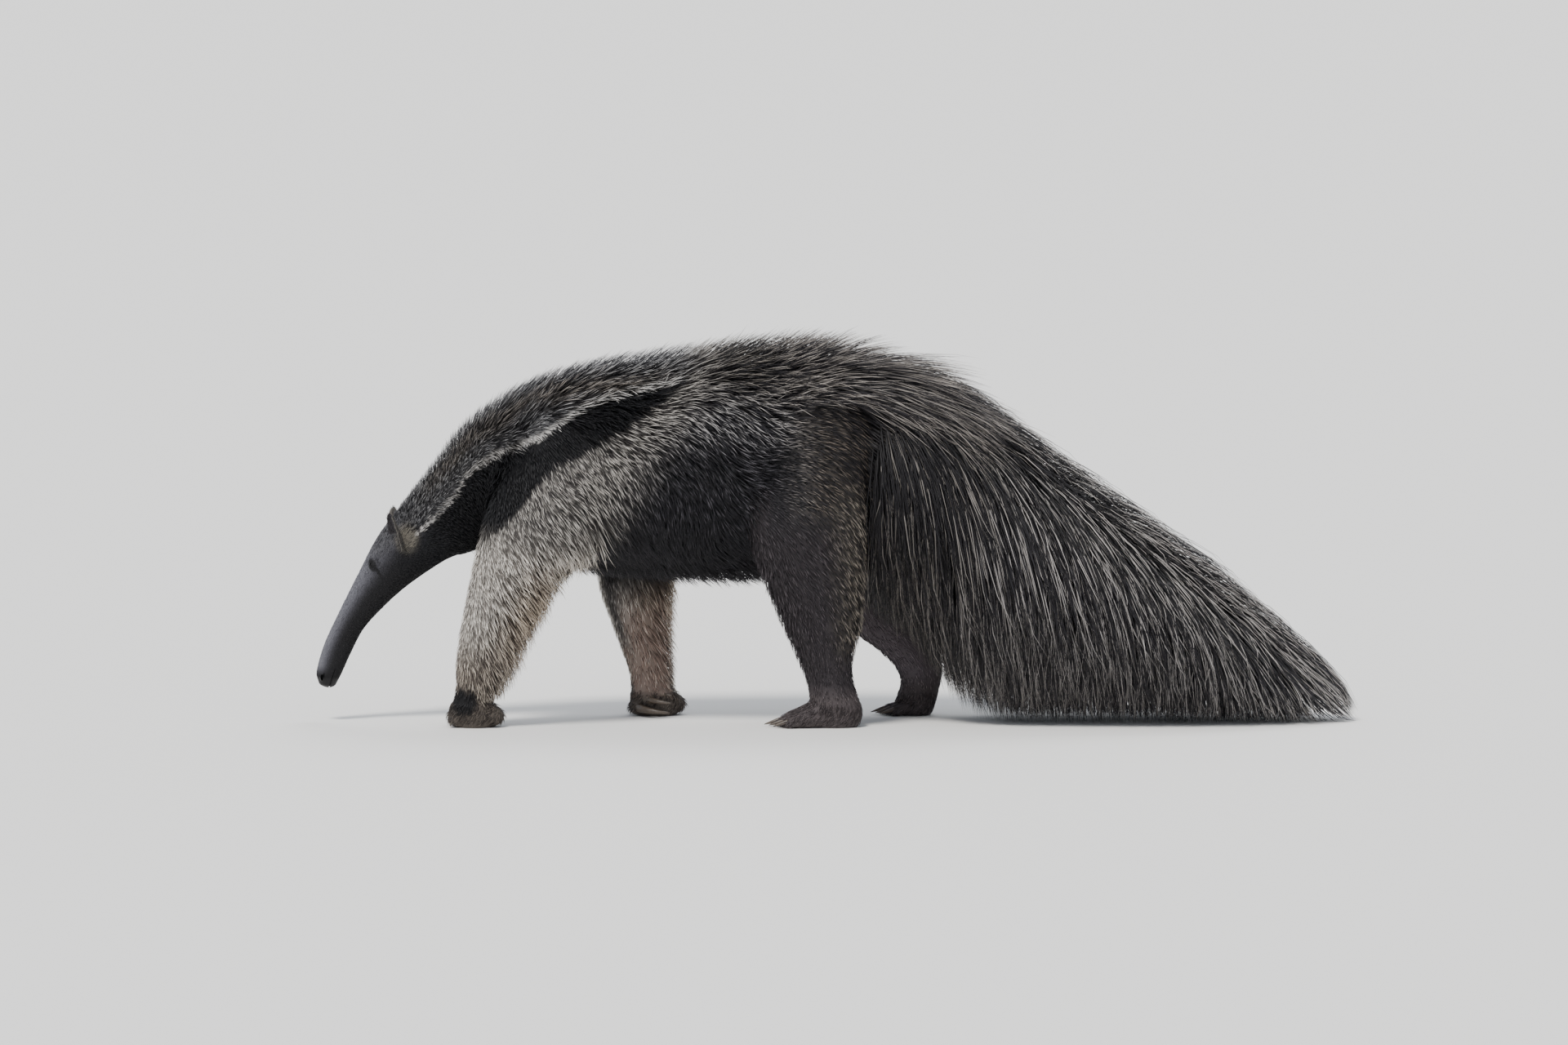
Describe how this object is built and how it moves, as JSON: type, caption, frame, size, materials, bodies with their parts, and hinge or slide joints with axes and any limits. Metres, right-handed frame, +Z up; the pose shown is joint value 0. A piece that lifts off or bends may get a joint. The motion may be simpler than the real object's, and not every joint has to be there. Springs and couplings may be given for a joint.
{
  "type": "giant anteater",
  "caption": "Life-size still model of a giant anteater walking with its snout to the ground: long tubular head, bristly back crest, knuckle-walking forefeet and a long curtain of tail hair.",
  "frame": {"origin": "on the floor, under the middle of the whole animal's outer box", "axes": "+Z up; the snout points to -X and the tail to +X; the animal's left side faces -Y"},
  "size_m": [1.838, 0.3454, 0.7017],
  "materials": {
    "head_fur": "short, close, grey hair",
    "body_hair": "coarse dark hair with pale tips, erect along the crest",
    "foreleg_fur": "pale, flecked hair that lies down and back",
    "hindleg_fur": "black-brown hair",
    "tail_hair": "long, straight, coarse strands",
    "eye": "wet and dark",
    "claw": "dull horn"
  },
  "bodies": {
    "root": {"head": "head_fur", "left_ear": "head_fur", "right_ear": "head_fur", "left_eye": "eye", "right_eye": "eye", "neck": "body_hair", "torso": "body_hair", "tail": "tail_hair", "left_foreleg": "foreleg_fur", "left_forefoot": "foreleg_fur", "left_hindleg": "hindleg_fur", "left_hindfoot": "hindleg_fur", "left_foreclaw_1": "claw", "left_foreclaw_2": "claw", "left_foreclaw_3": "claw", "left_foreclaw_4": "claw", "left_hindclaw_1": "claw", "left_hindclaw_2": "claw", "left_hindclaw_3": "claw", "left_hindclaw_4": "claw", "left_hindclaw_5": "claw", "right_foreleg": "foreleg_fur", "right_forefoot": "foreleg_fur", "right_hindleg": "hindleg_fur", "right_hindfoot": "hindleg_fur", "right_foreclaw_1": "claw", "right_foreclaw_2": "claw", "right_foreclaw_3": "claw", "right_foreclaw_4": "claw", "right_hindclaw_1": "claw", "right_hindclaw_2": "claw", "right_hindclaw_3": "claw", "right_hindclaw_4": "claw", "right_hindclaw_5": "claw"}
  },
  "joints": []
}
